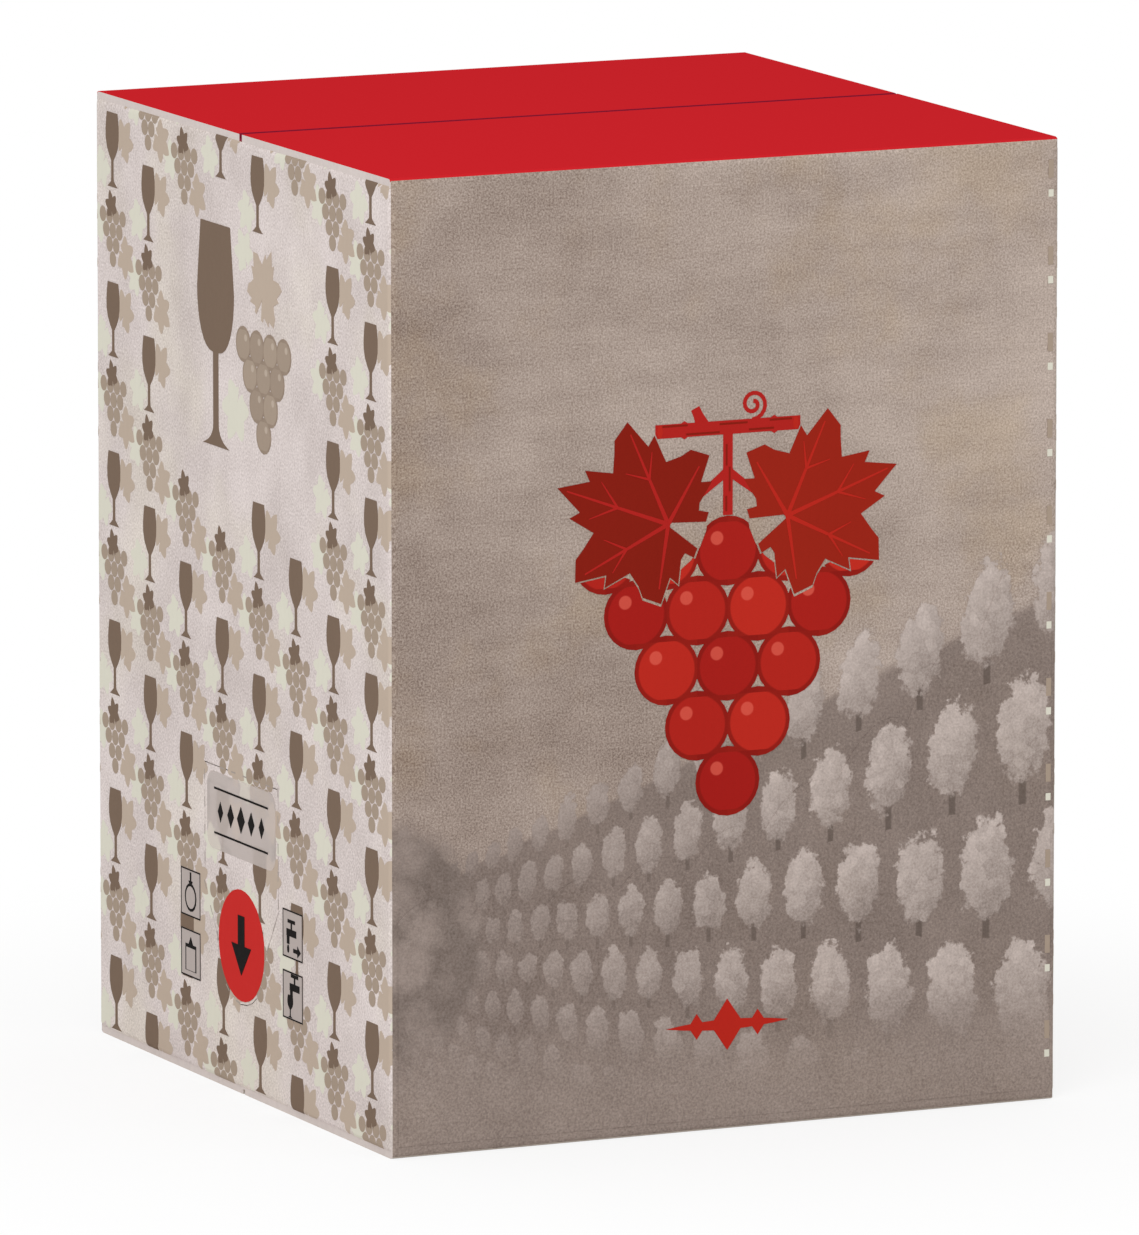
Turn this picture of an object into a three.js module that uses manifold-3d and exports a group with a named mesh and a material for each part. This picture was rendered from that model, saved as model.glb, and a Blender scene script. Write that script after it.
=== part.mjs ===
// A sealed bag in box carton: a folded and glued corrugated case with a printed liner.
//
// The board is one solid, because the case is one folded sheet, glued shut round its contents.
// The print lies on it as thin fields of colour, one mesh for each ink or motif.
// Millimetres, +Z up. The origin is the middle of the base. The wide front faces -Y.
import * as THREE from "three";
import { mergeVertices } from "three/addons/utils/BufferGeometryUtils.js";
import Module from "manifold-3d";

const wasm = await Module();
wasm.setup();

// The case
const cartonWidth = 240;
const cartonDepth = 240;
const cartonHeight = 320;
const boardThickness = 1.6;
const foldRadius = 2.4;
const seamWidth = 1.6;
const flapSetback = 0.6;
const jointSetback = 1;
const printThickness = 0.2;
const foldFacets = 3;

// The tear-out panel for the tap, on the left side
const tongueWidth = 60;
const tongueTop = 107;
const tongueShoulder = 66;
const discRadius = 18.7;
const discHeight = 50;
const discClearance = 1;
const slitLength = 6;
const slitBridge = 3;
const slitWidth = 0.5;
const slitDepth = 1.2;

// The plain fields on and beside the tear-out panel
const fieldThickness = 0.15;
const labelMargin = 2;
const labelHeight = 26;
const labelCorner = 5;
const arrowLength = 20;
const arrowWidth = 16;
const pictogramSize = 16;
const pictogramOffset = 41.8;
const pictogramHeights = [60.6, 40.2];

// The small repeat on both sides, and the larger motif in its quiet zone
const patternColumns = 8;
const patternPitch = 28.6;
const patternMargin = 1.5;
const gobletWidth = 13;
const gobletHeight = 25;
const bunchWidth = 18;
const bunchHeight = 20;
const quietColumns = 4;
const quietDrop = 69;
const quietHeight = 80;
const sideGobletWidth = 30;
const sideGobletHeight = 74;
const sideMotifSpread = 19.5;
const sideGrapeRadius = 6;
const sideBunchRows = 4;
const sideLeafRadius = 16;
const sideLeafTilt = 24;

// The grape emblem on the wide front
const emblemTop = 235;
const grapeRadius = 11.5;
const grapeOverlap = 1.1;
const bunchRows = 5;
const leafRadius = 35;
const leafTilt = 70;
const leafSpread = 28;
const leafRise = 1;
const leafHeart = 21;
const keyline = 1.2;
const caneWidth = 6;
const caneLength = 52;
const stalkWidth = 3.4;
const stalkLength = 26;
const stalkClearance = 0.2;

// The ornament and the faded picture below it
const ornamentWidth = 44;
const ornamentHeight = 17;
const ornamentCentre = 35;
const pictureDrop = 26;
const pictureRise = 112;
const vineBushes = 9;

const ink = {
  board: "#b5a48f",
  taupe: "#9f9186",
  pale: "#d8cec8",
  topRed: "#c7232a",
  faded: "#8a7d74",
  darkRed: "#841f14",
  deepRed: "#972518",
  midRed: "#ad2420",
  brightRed: "#b8281e",
  darkBrown: "#7a6758",
  midBrown: "#a5917f",
  tan: "#b9a998",
  mauve: "#bdb2ab",
  black: "#1d1a19",
  grey: "#b5aca8",
};

// Solids and meshes

function solidFrom(geometry) {
  const bare = geometry.clone();
  bare.deleteAttribute("normal");
  bare.deleteAttribute("uv");
  const merged = mergeVertices(bare, 1e-4);
  return new wasm.Manifold(
    new wasm.Mesh({
      numProp: 3,
      vertProperties: merged.attributes.position.array,
      triVerts: new Uint32Array(merged.index.array),
    }),
  );
}

function geometryFrom(solid) {
  const cut = solid.getMesh();
  const indexed = new THREE.BufferGeometry();
  indexed.setAttribute("position", new THREE.BufferAttribute(cut.vertProperties, 3));
  indexed.setIndex(new THREE.BufferAttribute(cut.triVerts, 1));
  const geometry = indexed.toNonIndexed();
  geometry.computeVertexNormals();
  return geometry;
}

function named(name, colour, geometry) {
  const material = new THREE.MeshStandardMaterial({ color: colour, roughness: 0.75, metalness: 0 });
  const mesh = new THREE.Mesh(geometry, material);
  mesh.name = name;
  return mesh;
}

function extruded(shape, depth, curveSegments) {
  return new THREE.ExtrudeGeometry(shape, { depth, bevelEnabled: false, curveSegments });
}

function unionOf(solids) {
  return solids.reduce((all, solid) => all.add(solid));
}

// The largest body of a cut solid, without the crumbs that two cuts leave between them.
function largestBody(solid) {
  return solid.decompose().reduce((most, body) => (body.volume() > most.volume() ? body : most));
}

function boxSolid(low, high) {
  const size = high.map((value, axis) => value - low[axis]);
  const geometry = new THREE.BoxGeometry(...size);
  geometry.translate(...low.map((value, axis) => value + size[axis] / 2));
  return solidFrom(geometry);
}

// Each panel has its own frame: u to the right and v up as seen from outside, and w straight out.
function panelFrame(rightward, outward, distance) {
  const panel = new THREE.Group();
  const upward = new THREE.Vector3(0, 0, 1);
  const basis = new THREE.Matrix4().makeBasis(rightward, upward, outward);
  panel.quaternion.setFromRotationMatrix(basis);
  panel.position.copy(outward).multiplyScalar(distance);
  panel.updateMatrixWorld(true);
  return panel;
}

const alongX = new THREE.Vector3(1, 0, 0);
const alongY = new THREE.Vector3(0, 1, 0);
const front = panelFrame(alongX, alongY.clone().negate(), cartonDepth / 2);
const rear = panelFrame(alongX.clone().negate(), alongY, cartonDepth / 2);
const left = panelFrame(alongY.clone().negate(), alongX.clone().negate(), cartonWidth / 2);
const right = panelFrame(alongY, alongX, cartonWidth / 2);

// A prism of an outline in a panel's frame, from w = -below to w = above.
function panelPrism(panel, shape, below, above, curveSegments) {
  const geometry = extruded(shape, above + below, curveSegments);
  geometry.translate(0, 0, -below);
  geometry.applyMatrix4(panel.matrixWorld);
  return solidFrom(geometry);
}

// A field of colour that lies on a panel, made of outlines in the panel's frame. Cutters are
// outlines that it leaves free.
function addField(panel, name, colour, shapes, { cutters = [], curveSegments = 8, level = 0 } = {}) {
  let solid = unionOf(shapes.map((shape) => solidFrom(extruded(shape, fieldThickness, curveSegments))));
  for (const cutter of cutters) {
    const tall = extruded(cutter, 3 * fieldThickness, curveSegments);
    tall.translate(0, 0, -fieldThickness);
    solid = solid.subtract(solidFrom(tall));
  }
  const mesh = named(name, colour, geometryFrom(largestBody(solid)));
  mesh.position.z = level * fieldThickness;
  panel.add(mesh);
}

// Outlines

function polygon(points) {
  return new THREE.Shape(points.map(([u, v]) => new THREE.Vector2(u, v)));
}

function rectangle(u, v, width, height) {
  return polygon([
    [u - width / 2, v - height / 2],
    [u + width / 2, v - height / 2],
    [u + width / 2, v + height / 2],
    [u - width / 2, v + height / 2],
  ]);
}

function roundedRectangle(centreV, width, height, radius) {
  const u = width / 2 - radius;
  const v = height / 2 - radius;
  const quarter = Math.PI / 2;
  const shape = new THREE.Shape();
  shape.absarc(u, centreV + v, radius, 0, quarter, false);
  shape.absarc(-u, centreV + v, radius, quarter, 2 * quarter, false);
  shape.absarc(-u, centreV - v, radius, 2 * quarter, 3 * quarter, false);
  shape.absarc(u, centreV - v, radius, 3 * quarter, 4 * quarter, false);
  shape.closePath();
  return shape;
}

function disc(u, v, radius) {
  const shape = new THREE.Shape();
  shape.absarc(u, v, radius, 0, 2 * Math.PI, false);
  return shape;
}

function lozenge(u, v, width, height) {
  return polygon([
    [u - width / 2, v],
    [u, v - height / 2],
    [u + width / 2, v],
    [u, v + height / 2],
  ]);
}

// A stemmed glass that stands on (u, v). With one curve segment it has ten corners.
function goblet(u, v, width, height) {
  const half = width / 2;
  const stem = half * 0.14;
  const foot = half * 0.72;
  const rim = half * 0.8;
  const footTop = v + height * 0.1;
  const bowlLow = v + height * 0.42;
  const bowlWide = v + height * 0.7;
  const shape = new THREE.Shape();
  shape.moveTo(u - foot, v);
  shape.lineTo(u + foot, v);
  shape.quadraticCurveTo(u + stem, v + height * 0.03, u + stem, footTop);
  shape.lineTo(u + stem, bowlLow);
  shape.bezierCurveTo(u + half * 0.7, bowlLow, u + half, v + height * 0.55, u + half, bowlWide);
  shape.lineTo(u + rim, v + height);
  shape.lineTo(u - rim, v + height);
  shape.lineTo(u - half, bowlWide);
  shape.bezierCurveTo(u - half, v + height * 0.55, u - half * 0.7, bowlLow, u - stem, bowlLow);
  shape.lineTo(u - stem, footTop);
  shape.quadraticCurveTo(u - stem, v + height * 0.03, u - foot, v);
  return shape;
}

// The outside of a small bunch of grapes with its tip at (u, v).
function smallBunch(u, v, width, height) {
  const half = width / 2;
  return polygon([
    [u - half * 0.2, v],
    [u + half * 0.2, v],
    [u + half, v + height * 0.75],
    [u + half * 0.5, v + height],
    [u - half * 0.5, v + height],
    [u - half, v + height * 0.75],
  ]);
}

// The rows of a large bunch lose one grape at each step down.
function grapeRowStep(radius) {
  return (2 * radius - grapeOverlap) * Math.sin(Math.PI / 3);
}

function grapes(u, topV, rows, radius) {
  const pitch = 2 * radius - grapeOverlap;
  const rowStep = grapeRowStep(radius);
  const discs = [];
  for (let row = 0; row < rows; row += 1) {
    const count = rows - row;
    for (let place = 0; place < count; place += 1) {
      const across = u + (place - (count - 1) / 2) * pitch;
      discs.push(disc(across, topV - radius - row * rowStep, radius));
    }
  }
  return discs;
}

// A vine leaf, tip up before it is tilted. Each pair below is an angle from the tip in degrees and
// how far the edge reaches there, as a share of the radius: three tips, with a notch after each.
function vineLeaf(u, v, radius, tiltDegrees) {
  const edge = [[0, 1], [30, 0.58], [56, 0.94], [88, 0.54], [118, 0.82], [148, 0.52], [167, 0.58]];
  const tooth = 0.05;
  const halfEdge = [];
  edge.slice(1).forEach(([angle, reach], place) => {
    const [previousAngle, previousReach] = edge[place];
    const between = (share) => previousReach + (reach - previousReach) * share;
    halfEdge.push([previousAngle, previousReach]);
    halfEdge.push([previousAngle + (angle - previousAngle) * 0.4, between(0.55) - tooth]);
    halfEdge.push([previousAngle + (angle - previousAngle) * 0.55, between(0.55) + tooth]);
  });
  const sinus = [180, 0.16];
  const otherEdge = halfEdge.slice(1).reverse().map(([angle, reach]) => [360 - angle, reach]);
  const points = [...halfEdge, edge[6], sinus, [360 - edge[6][0], edge[6][1]], ...otherEdge];
  return polygon(points.map(([angle, reach]) => {
    const turned = THREE.MathUtils.degToRad(90 + tiltDegrees + angle);
    return [u + radius * reach * Math.cos(turned), v + radius * reach * Math.sin(turned)];
  }));
}

// The folded case

// The whole outside of the case, with its printed faces moved in by inset. The outer flaps turn in
// from the front and the rear walls, and lie one board higher than the side walls' flaps.
function foldedForm(inset) {
  const radius = foldRadius - inset;
  const width = cartonWidth - 2 * inset;
  const depth = cartonDepth - 2 * inset;
  const height = cartonHeight - 2 * inset;
  const middle = cartonHeight / 2;
  const flapReach = cartonWidth / 2 - flapSetback;
  const column = solidFrom(
    extruded(roundedRectangle(0, width, depth, radius), cartonHeight, foldFacets),
  );
  const flapFolds = panelPrism(
    right, roundedRectangle(middle, depth, height, radius), cartonWidth, 0, foldFacets);
  const sideWalls = panelPrism(
    rear, roundedRectangle(middle, width, height - 2 * boardThickness, radius),
    cartonDepth, 0, foldFacets);
  const flaps = boxSolid(
    [-flapReach, -cartonDepth, inset],
    [flapReach, cartonDepth, cartonHeight - inset],
  );
  return column.intersect(flapFolds).intersect(sideWalls.add(flaps));
}

// The space over one wall, split from its neighbours at the middle of each fold.
function wallRegion(panel, panelWidth) {
  const inner = panelWidth / 2 - foldRadius;
  const reach = 2 * foldRadius;
  const corners = [
    new THREE.Vector3(-inner, 0, -foldRadius),
    new THREE.Vector3(inner, 0, -foldRadius),
    new THREE.Vector3(inner + reach, 0, reach - foldRadius),
    new THREE.Vector3(-inner - reach, 0, reach - foldRadius),
  ];
  const plan = corners.map((corner) => panel.localToWorld(corner)).map(({ x, y }) => [x, y]);
  return solidFrom(extruded(polygon(plan), cartonHeight, 1));
}

// The same over the top, as wide as the outer flaps.
function topRegion() {
  const inner = cartonDepth / 2 - foldRadius;
  const shoulder = cartonHeight - foldRadius;
  const reach = 2 * foldRadius;
  const profile = polygon([
    [-inner, shoulder],
    [inner, shoulder],
    [inner + reach, shoulder + reach],
    [-inner - reach, shoulder + reach],
  ]);
  return panelPrism(right, profile, cartonWidth - flapSetback, -flapSetback, 1);
}

// What stays open between raw edges: the seams of the outer flaps, and the glued rear corner.
function openEdges() {
  const far = 2 * cartonHeight;
  const seam = (middle) => boxSolid(
    [-cartonWidth, -seamWidth / 2, middle - boardThickness],
    [cartonWidth, seamWidth / 2, middle + boardThickness],
  );
  const gluedCorner = boxSolid(
    [cartonWidth / 2 - jointSetback, cartonDepth / 2 - boardThickness, -far],
    [cartonWidth, cartonDepth, far],
  );
  return unionOf([seam(0), seam(cartonHeight), gluedCorner]);
}

// The tear line: up one side of the tongue, over its top, down to the disc and round it.
function tearLine() {
  const half = tongueWidth / 2;
  const ring = discRadius + discClearance;
  const line = new THREE.Path();
  line.moveTo(-ring, discHeight);
  line.lineTo(-half, tongueShoulder);
  line.lineTo(-half, tongueTop);
  line.lineTo(half, tongueTop);
  line.lineTo(half, tongueShoulder);
  line.lineTo(ring, discHeight);
  line.absarc(0, discHeight, ring, 0, -Math.PI, true);
  return line;
}

// The slits along the tear line, each cut part of the way into the board.
function tearSlits() {
  const line = tearLine();
  const count = Math.floor(line.getLength() / (slitLength + slitBridge));
  const slits = [];
  for (let place = 0; place < count; place += 1) {
    const along = (place + 0.5) / count;
    const centre = line.getPointAt(along);
    const tangent = line.getTangentAt(along);
    const slit = new THREE.BoxGeometry(slitLength, slitWidth, 2 * slitDepth);
    slit.rotateZ(Math.atan2(tangent.y, tangent.x));
    slit.translate(centre.x, centre.y, 0);
    slit.applyMatrix4(left.matrixWorld);
    slits.push(solidFrom(slit));
  }
  return unionOf(slits);
}

// The windows of the side pattern, which show the board: glasses and bunches by turns, with every
// second column half a step lower.
function patternWindows(panel) {
  const columnPitch = cartonDepth / patternColumns;
  const quietHalf = (quietColumns / 2) * columnPitch;
  const lowest = boardThickness + foldRadius + patternMargin;
  const highest = cartonHeight - lowest;
  const windows = [];
  for (let column = 0; column < patternColumns; column += 1) {
    const u = (column - (patternColumns - 1) / 2) * columnPitch;
    const drop = column % 2 === 0 ? 0 : patternPitch / 2;
    for (let row = 0; row * patternPitch < cartonHeight; row += 1) {
      const glass = (row + Math.floor(column / 2)) % 2 === 0;
      const height = glass ? gobletHeight : bunchHeight;
      const centre = highest - gobletHeight / 2 - row * patternPitch - drop;
      const base = centre - height / 2;
      const fits = base > lowest;
      const fromQuiet = Math.abs(centre - (cartonHeight - quietDrop));
      const quiet = Math.abs(u) < quietHalf && fromQuiet < (quietHeight + height) / 2;
      if (fits && !quiet) {
        const shape = glass
          ? goblet(u, base, gobletWidth, gobletHeight)
          : smallBunch(u, base, bunchWidth, bunchHeight);
        windows.push(panelPrism(panel, shape, 2 * printThickness, printThickness, 1));
      }
    }
  }
  return unionOf(windows);
}

const wholeForm = foldedForm(0);
const printedHeight = boxSolid(
  [-cartonWidth, -cartonDepth, foldRadius * (1 - Math.SQRT1_2)],
  [cartonWidth, cartonDepth, 2 * cartonHeight],
);
const liner = wholeForm.subtract(foldedForm(printThickness)).intersect(printedHeight);
const rawEdges = openEdges();
const slits = tearSlits();
const overFlaps = topRegion();
const wallLiner = liner.subtract(overFlaps).subtract(rawEdges);
const flapLiner = liner.intersect(overFlaps).subtract(rawEdges);
const board = wholeForm.subtract(liner).subtract(rawEdges).subtract(slits);

const pack = new THREE.Group();
pack.add(front, rear, left, right);
pack.add(named("carton", ink.board, geometryFrom(board)));

// The printed liner: one field for each wall and each outer top flap

function addWall(name, colour, panel, panelWidth, cuts) {
  let wall = wallLiner.intersect(wallRegion(panel, panelWidth));
  for (const cut of cuts) wall = wall.subtract(cut);
  pack.add(named(name, colour, geometryFrom(largestBody(wall))));
}

function addTopFlap(name, nearY, farY) {
  const half = boxSolid([-cartonWidth, nearY, 0], [cartonWidth, farY, 2 * cartonHeight]);
  pack.add(named(name, ink.topRed, geometryFrom(flapLiner.intersect(half))));
}

addWall("front_print", ink.taupe, front, cartonWidth, []);
addWall("rear_print", ink.taupe, rear, cartonWidth, []);
addWall("left_print", ink.pale, left, cartonDepth, [patternWindows(left), slits]);
addWall("right_print", ink.pale, right, cartonDepth, [patternWindows(right)]);
addTopFlap("top_front_print", -cartonDepth, 0);
addTopFlap("top_rear_print", 0, cartonDepth);

// The emblem on the wide front: a bunch of grapes that hangs by its stalk from a knotted cane,
// under two vine leaves

const grapesTop = emblemTop - caneWidth - stalkLength;
const leafPlaces = [
  ["emblem_leaf_left", ink.darkRed, -1],
  ["emblem_leaf_right", ink.deepRed, 1],
];
const emblemLeaf = (side, radius) =>
  vineLeaf(side * leafSpread, grapesTop + leafRise, radius, -side * leafTilt);
for (const [name, colour, side] of leafPlaces) {
  const cutters = side > 0 ? [emblemLeaf(-side, leafRadius + keyline)] : [];
  addField(front, name, colour, [emblemLeaf(side, leafRadius)], { cutters });
}
const leafCutters = leafPlaces.flatMap(([, , side]) => [
  emblemLeaf(side, leafRadius + keyline),
  disc(side * leafSpread, grapesTop + leafRise, leafHeart),
]);
const caneCentre = emblemTop - caneWidth / 2;
const cane = rectangle(0, caneCentre, caneLength, caneWidth * 0.75);
const knots = [-0.3, 0.32].map((share) =>
  lozenge(share * caneLength, caneCentre, 1.6 * caneWidth, caneWidth));
const stalkEnd = grapesTop + stalkClearance;
const stalk = rectangle(0, (caneCentre + stalkEnd) / 2, stalkWidth, caneCentre - stalkEnd);
addField(front, "emblem_cane", ink.midRed, [cane, ...knots, stalk], { cutters: leafCutters });
addField(front, "emblem_grapes", ink.brightRed, grapes(0, grapesTop, bunchRows, grapeRadius), {
  cutters: leafCutters,
  curveSegments: 12,
});

// The faded picture low on the front: a rising slope with a crest of round vine bushes. It starts
// below the tip of the emblem.

const emblemTip = grapesTop - 2 * grapeRadius - (bunchRows - 1) * grapeRowStep(grapeRadius);
const pictureLeftTop = emblemTip - pictureDrop;

function vineSlope() {
  const half = cartonWidth / 2 - foldRadius;
  const crest = (share) => new THREE.Vector2(
    half * (2 * share - 1),
    pictureLeftTop + pictureRise * share ** 3,
  );
  const shape = new THREE.Shape();
  shape.moveTo(half, boardThickness + foldRadius);
  shape.lineTo(half, pictureLeftTop + pictureRise);
  for (let bush = vineBushes; bush > 0; bush -= 1) {
    const start = crest(bush / vineBushes);
    const end = crest((bush - 1) / vineBushes);
    const middle = start.clone().add(end).multiplyScalar(0.5);
    const lift = start.distanceTo(end) * 0.5;
    shape.quadraticCurveTo(middle.x, middle.y + lift, end.x, end.y);
  }
  shape.lineTo(-half, boardThickness + foldRadius);
  return shape;
}

addField(front, "faded_vine_slope", ink.faded, [vineSlope()]);

// The ornament on the slope: a swelling rule with three lozenges

function swellingRule(u, v, width, height) {
  const shape = new THREE.Shape();
  shape.moveTo(u - width / 2, v);
  shape.quadraticCurveTo(u, v - height, u + width / 2, v);
  shape.quadraticCurveTo(u, v + height, u - width / 2, v);
  return shape;
}

const ornament = [
  swellingRule(0, ornamentCentre, ornamentWidth, ornamentHeight * 0.2),
  lozenge(0, ornamentCentre, ornamentHeight * 0.7, ornamentHeight),
  lozenge(-ornamentWidth / 4, ornamentCentre, ornamentHeight * 0.35, ornamentHeight * 0.5),
  lozenge(ornamentWidth / 4, ornamentCentre, ornamentHeight * 0.35, ornamentHeight * 0.5),
];
addField(front, "front_ornament", ink.brightRed, ornament, { level: 1 });

// The larger motif on each side: a glass, a bunch and a leaf

function addSideMotif(panel, side) {
  const centre = cartonHeight - quietDrop;
  const base = centre - sideGobletHeight / 2;
  const bunchTop = centre + sideGrapeRadius;
  const leafV = bunchTop + sideLeafRadius * 0.8;
  const glass = goblet(-sideMotifSpread, base, sideGobletWidth, sideGobletHeight);
  const bunch = grapes(sideMotifSpread, bunchTop, sideBunchRows, sideGrapeRadius);
  const leaf = vineLeaf(sideMotifSpread, leafV, sideLeafRadius, -sideLeafTilt);
  const outerLeaf = vineLeaf(sideMotifSpread, leafV, sideLeafRadius + keyline, -sideLeafTilt);
  addField(panel, `${side}_glass`, ink.darkBrown, [glass]);
  addField(panel, `${side}_bunch`, ink.midBrown, bunch, { cutters: [outerLeaf] });
  addField(panel, `${side}_leaf`, ink.tan, [leaf]);
}

addSideMotif(left, "left");
addSideMotif(right, "right");

// The tear-out panel: a plain label plate, the red disc to press in, and an arrow on it

const labelWidth = tongueWidth - 2 * labelMargin;
const labelCentre = tongueTop - labelMargin - labelHeight / 2;
const label = roundedRectangle(labelCentre, labelWidth, labelHeight, labelCorner);
addField(left, "label_plate", ink.mauve, [label]);
addField(left, "opening_disc", ink.brightRed, [disc(0, discHeight, discRadius)], {
  curveSegments: 18,
});
const arrow = polygon([
  [-arrowWidth / 6, discHeight + arrowLength / 2],
  [-arrowWidth / 6, discHeight],
  [-arrowWidth / 2, discHeight],
  [0, discHeight - arrowLength / 2],
  [arrowWidth / 2, discHeight],
  [arrowWidth / 6, discHeight],
  [arrowWidth / 6, discHeight + arrowLength / 2],
]);
addField(left, "opening_arrow", ink.black, [arrow], { level: 1 });

// The four pictogram plates beside the disc

for (const side of [-1, 1]) {
  pictogramHeights.forEach((height, place) => {
    const name = `pictogram_${side < 0 ? "left" : "right"}_${place + 1}`;
    const plate = rectangle(side * pictogramOffset, height, pictogramSize, pictogramSize);
    addField(left, name, ink.grey, [plate]);
  });
}

export default pack;
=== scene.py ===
import math

import bpy
from mathutils import Matrix, Vector


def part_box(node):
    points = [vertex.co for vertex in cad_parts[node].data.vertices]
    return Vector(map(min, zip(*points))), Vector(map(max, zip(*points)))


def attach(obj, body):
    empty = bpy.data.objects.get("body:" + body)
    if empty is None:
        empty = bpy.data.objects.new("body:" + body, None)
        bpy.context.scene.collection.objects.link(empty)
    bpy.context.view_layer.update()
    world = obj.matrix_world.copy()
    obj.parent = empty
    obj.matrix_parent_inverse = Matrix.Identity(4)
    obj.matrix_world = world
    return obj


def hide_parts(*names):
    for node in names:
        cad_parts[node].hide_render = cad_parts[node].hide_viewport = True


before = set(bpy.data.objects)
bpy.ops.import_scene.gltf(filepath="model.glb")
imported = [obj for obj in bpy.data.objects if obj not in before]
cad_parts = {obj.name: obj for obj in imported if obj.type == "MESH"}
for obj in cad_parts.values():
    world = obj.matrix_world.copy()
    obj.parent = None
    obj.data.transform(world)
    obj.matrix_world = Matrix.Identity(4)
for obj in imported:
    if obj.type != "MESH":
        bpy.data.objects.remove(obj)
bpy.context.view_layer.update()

mm = 0.001

# The camera stands well back, a little to the left of the wide front and a little above the top,
# as a long lens does in a product picture. It looks at the middle of the carton.
low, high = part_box("carton")
carton_size = high - low
view_azimuth = math.radians(-24.9)
view_elevation = math.radians(9.48)
view_distance = 5.122
view_lens = 450
sensor_size = 36
aim_left = 0.8 * mm
aim_down = 8.5 * mm
back = Vector((
    math.sin(view_azimuth) * math.cos(view_elevation),
    -math.cos(view_azimuth) * math.cos(view_elevation),
    math.sin(view_elevation),
))
rightward = Vector((math.cos(view_azimuth), math.sin(view_azimuth), 0))
upward = back.cross(rightward)
aim = Vector((0, 0, carton_size.z / 2)) - aim_left * rightward - aim_down * upward
bpy.ops.object.camera_add()
camera = bpy.context.object
camera.data.sensor_width = sensor_size
camera.data.lens = view_lens
camera.data.clip_end = 50
view_turn = Matrix((rightward, upward, back)).transposed().to_4x4()
camera.matrix_world = Matrix.Translation(aim + view_distance * back) @ view_turn
bpy.context.scene.camera = camera
bpy.context.scene.view_settings.view_transform = "Standard"


# The light is soft and plain: a white room all round, and one large lamp high on the left that
# leaves a soft shadow on the floor.
room_strength = 0.72
lamp_place = (-1.3, -1.5, 2.0)
lamp_size = 1.6
lamp_power = 27
world = bpy.data.worlds.new("white_room")
world.use_nodes = True
bpy.context.scene.world = world
background = world.node_tree.nodes["Background"]
rays = world.node_tree.nodes.new("ShaderNodeLightPath")
seen = world.node_tree.nodes.new("ShaderNodeMix")
seen.inputs["A"].default_value = room_strength
seen.inputs["B"].default_value = 1
world.node_tree.links.new(rays.outputs["Is Camera Ray"], seen.inputs["Factor"])
world.node_tree.links.new(seen.outputs["Result"], background.inputs["Strength"])
background.inputs["Color"].default_value = (1, 1, 1, 1)
bpy.ops.object.light_add(type="AREA", location=lamp_place)
lamp = bpy.context.object
lamp.data.shape = "DISK"
lamp.data.size = lamp_size
lamp.data.energy = lamp_power
lamp.rotation_euler = (aim - lamp.location).to_track_quat("-Z", "Y").to_euler()


# Shader maths for all the printed papers: values that Python operators join with Math nodes, and
# a finish that adds any other node from its type, its settings and its inputs.
class Value:
    def __init__(self, finish, output):
        self.finish = finish
        self.output = output

    def math(self, operation, *others):
        terms = dict(enumerate((self, *others)))
        return self.finish.add("Math", {"operation": operation}, terms)

    def __add__(self, other):
        return self.math("ADD", other)

    def __radd__(self, other):
        return self + other

    def __mul__(self, other):
        return self.math("MULTIPLY", other)

    def __rmul__(self, other):
        return self * other

    def __sub__(self, other):
        return self.math("SUBTRACT", other)

    def __rsub__(self, other):
        return self * -1 + other

    def __truediv__(self, other):
        return self.math("DIVIDE", other)

    def between(self, start, end):
        settings = {"interpolation_type": "SMOOTHSTEP"}
        inputs = {"Value": self, "From Min": start, "From Max": end}
        return self.finish.add("MapRange", settings, inputs)


def length(first, second):
    return (first * first + second * second).math("SQRT")


def ink(red, green, blue):
    def linear(level):
        share = level / 255
        return share / 12.92 if share <= 0.04045 else ((share + 0.055) / 1.055) ** 2.4

    return (linear(red), linear(green), linear(blue), 1)


class Finish:
    def __init__(self, name, roughness=0.8, sheen=0.04):
        self.material = bpy.data.materials.new(name)
        self.material.use_nodes = True
        self.tree = self.material.node_tree
        self.shader = self.tree.nodes["Principled BSDF"]
        self.shader.inputs["Specular IOR Level"].default_value = sheen
        self.shader.inputs["Roughness"].default_value = roughness
        self.place = self.add("TexCoord", output="Object")

    def add(self, kind, settings=None, inputs=None, output=0):
        node = self.tree.nodes.new("ShaderNode" + kind)
        for key, setting in (settings or {}).items():
            setattr(node, key, setting)
        for key, source in (inputs or {}).items():
            self.feed(node.inputs[key], source)
        return Value(self, node.outputs[output])

    def feed(self, socket, source):
        if isinstance(source, Value):
            self.tree.links.new(source.output, socket)
        else:
            socket.default_value = source

    def noise(self, scale, detail=2, roughness=0.5, stretch=(1, 1, 1)):
        place = self.add("VectorMath", {"operation": "MULTIPLY"}, {0: self.place, 1: stretch})
        inputs = {"Vector": place, "Scale": scale, "Detail": detail, "Roughness": roughness}
        return self.add("TexNoise", None, inputs)

    # A mix of colours has its colours at the node's inputs 6 and 7, and its result at output 2.
    def mix(self, factor, first, second):
        return self.add("Mix", {"data_type": "RGBA"}, {0: factor, 6: first, 7: second}, 2)

    def axis(self, letter):
        return self.add("SeparateXYZ", None, {0: self.place}, letter)

    def colour(self, source):
        self.feed(self.shader.inputs["Base Color"], source)

    def bump(self, height, strength, distance):
        inputs = {"Height": height, "Strength": strength, "Distance": distance}
        self.feed(self.shader.inputs["Normal"], self.add("Bump", None, inputs))


# The liner's own grain: short paper fibres, and the faint washboard that the flutes under it
# leave, which runs up each wall and on over the flaps.
flute_pitch = 3.4 * mm


def flute_wave(finish, across):
    return (finish.axis(across) * (2 * math.pi / flute_pitch)).math("SINE")


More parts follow.
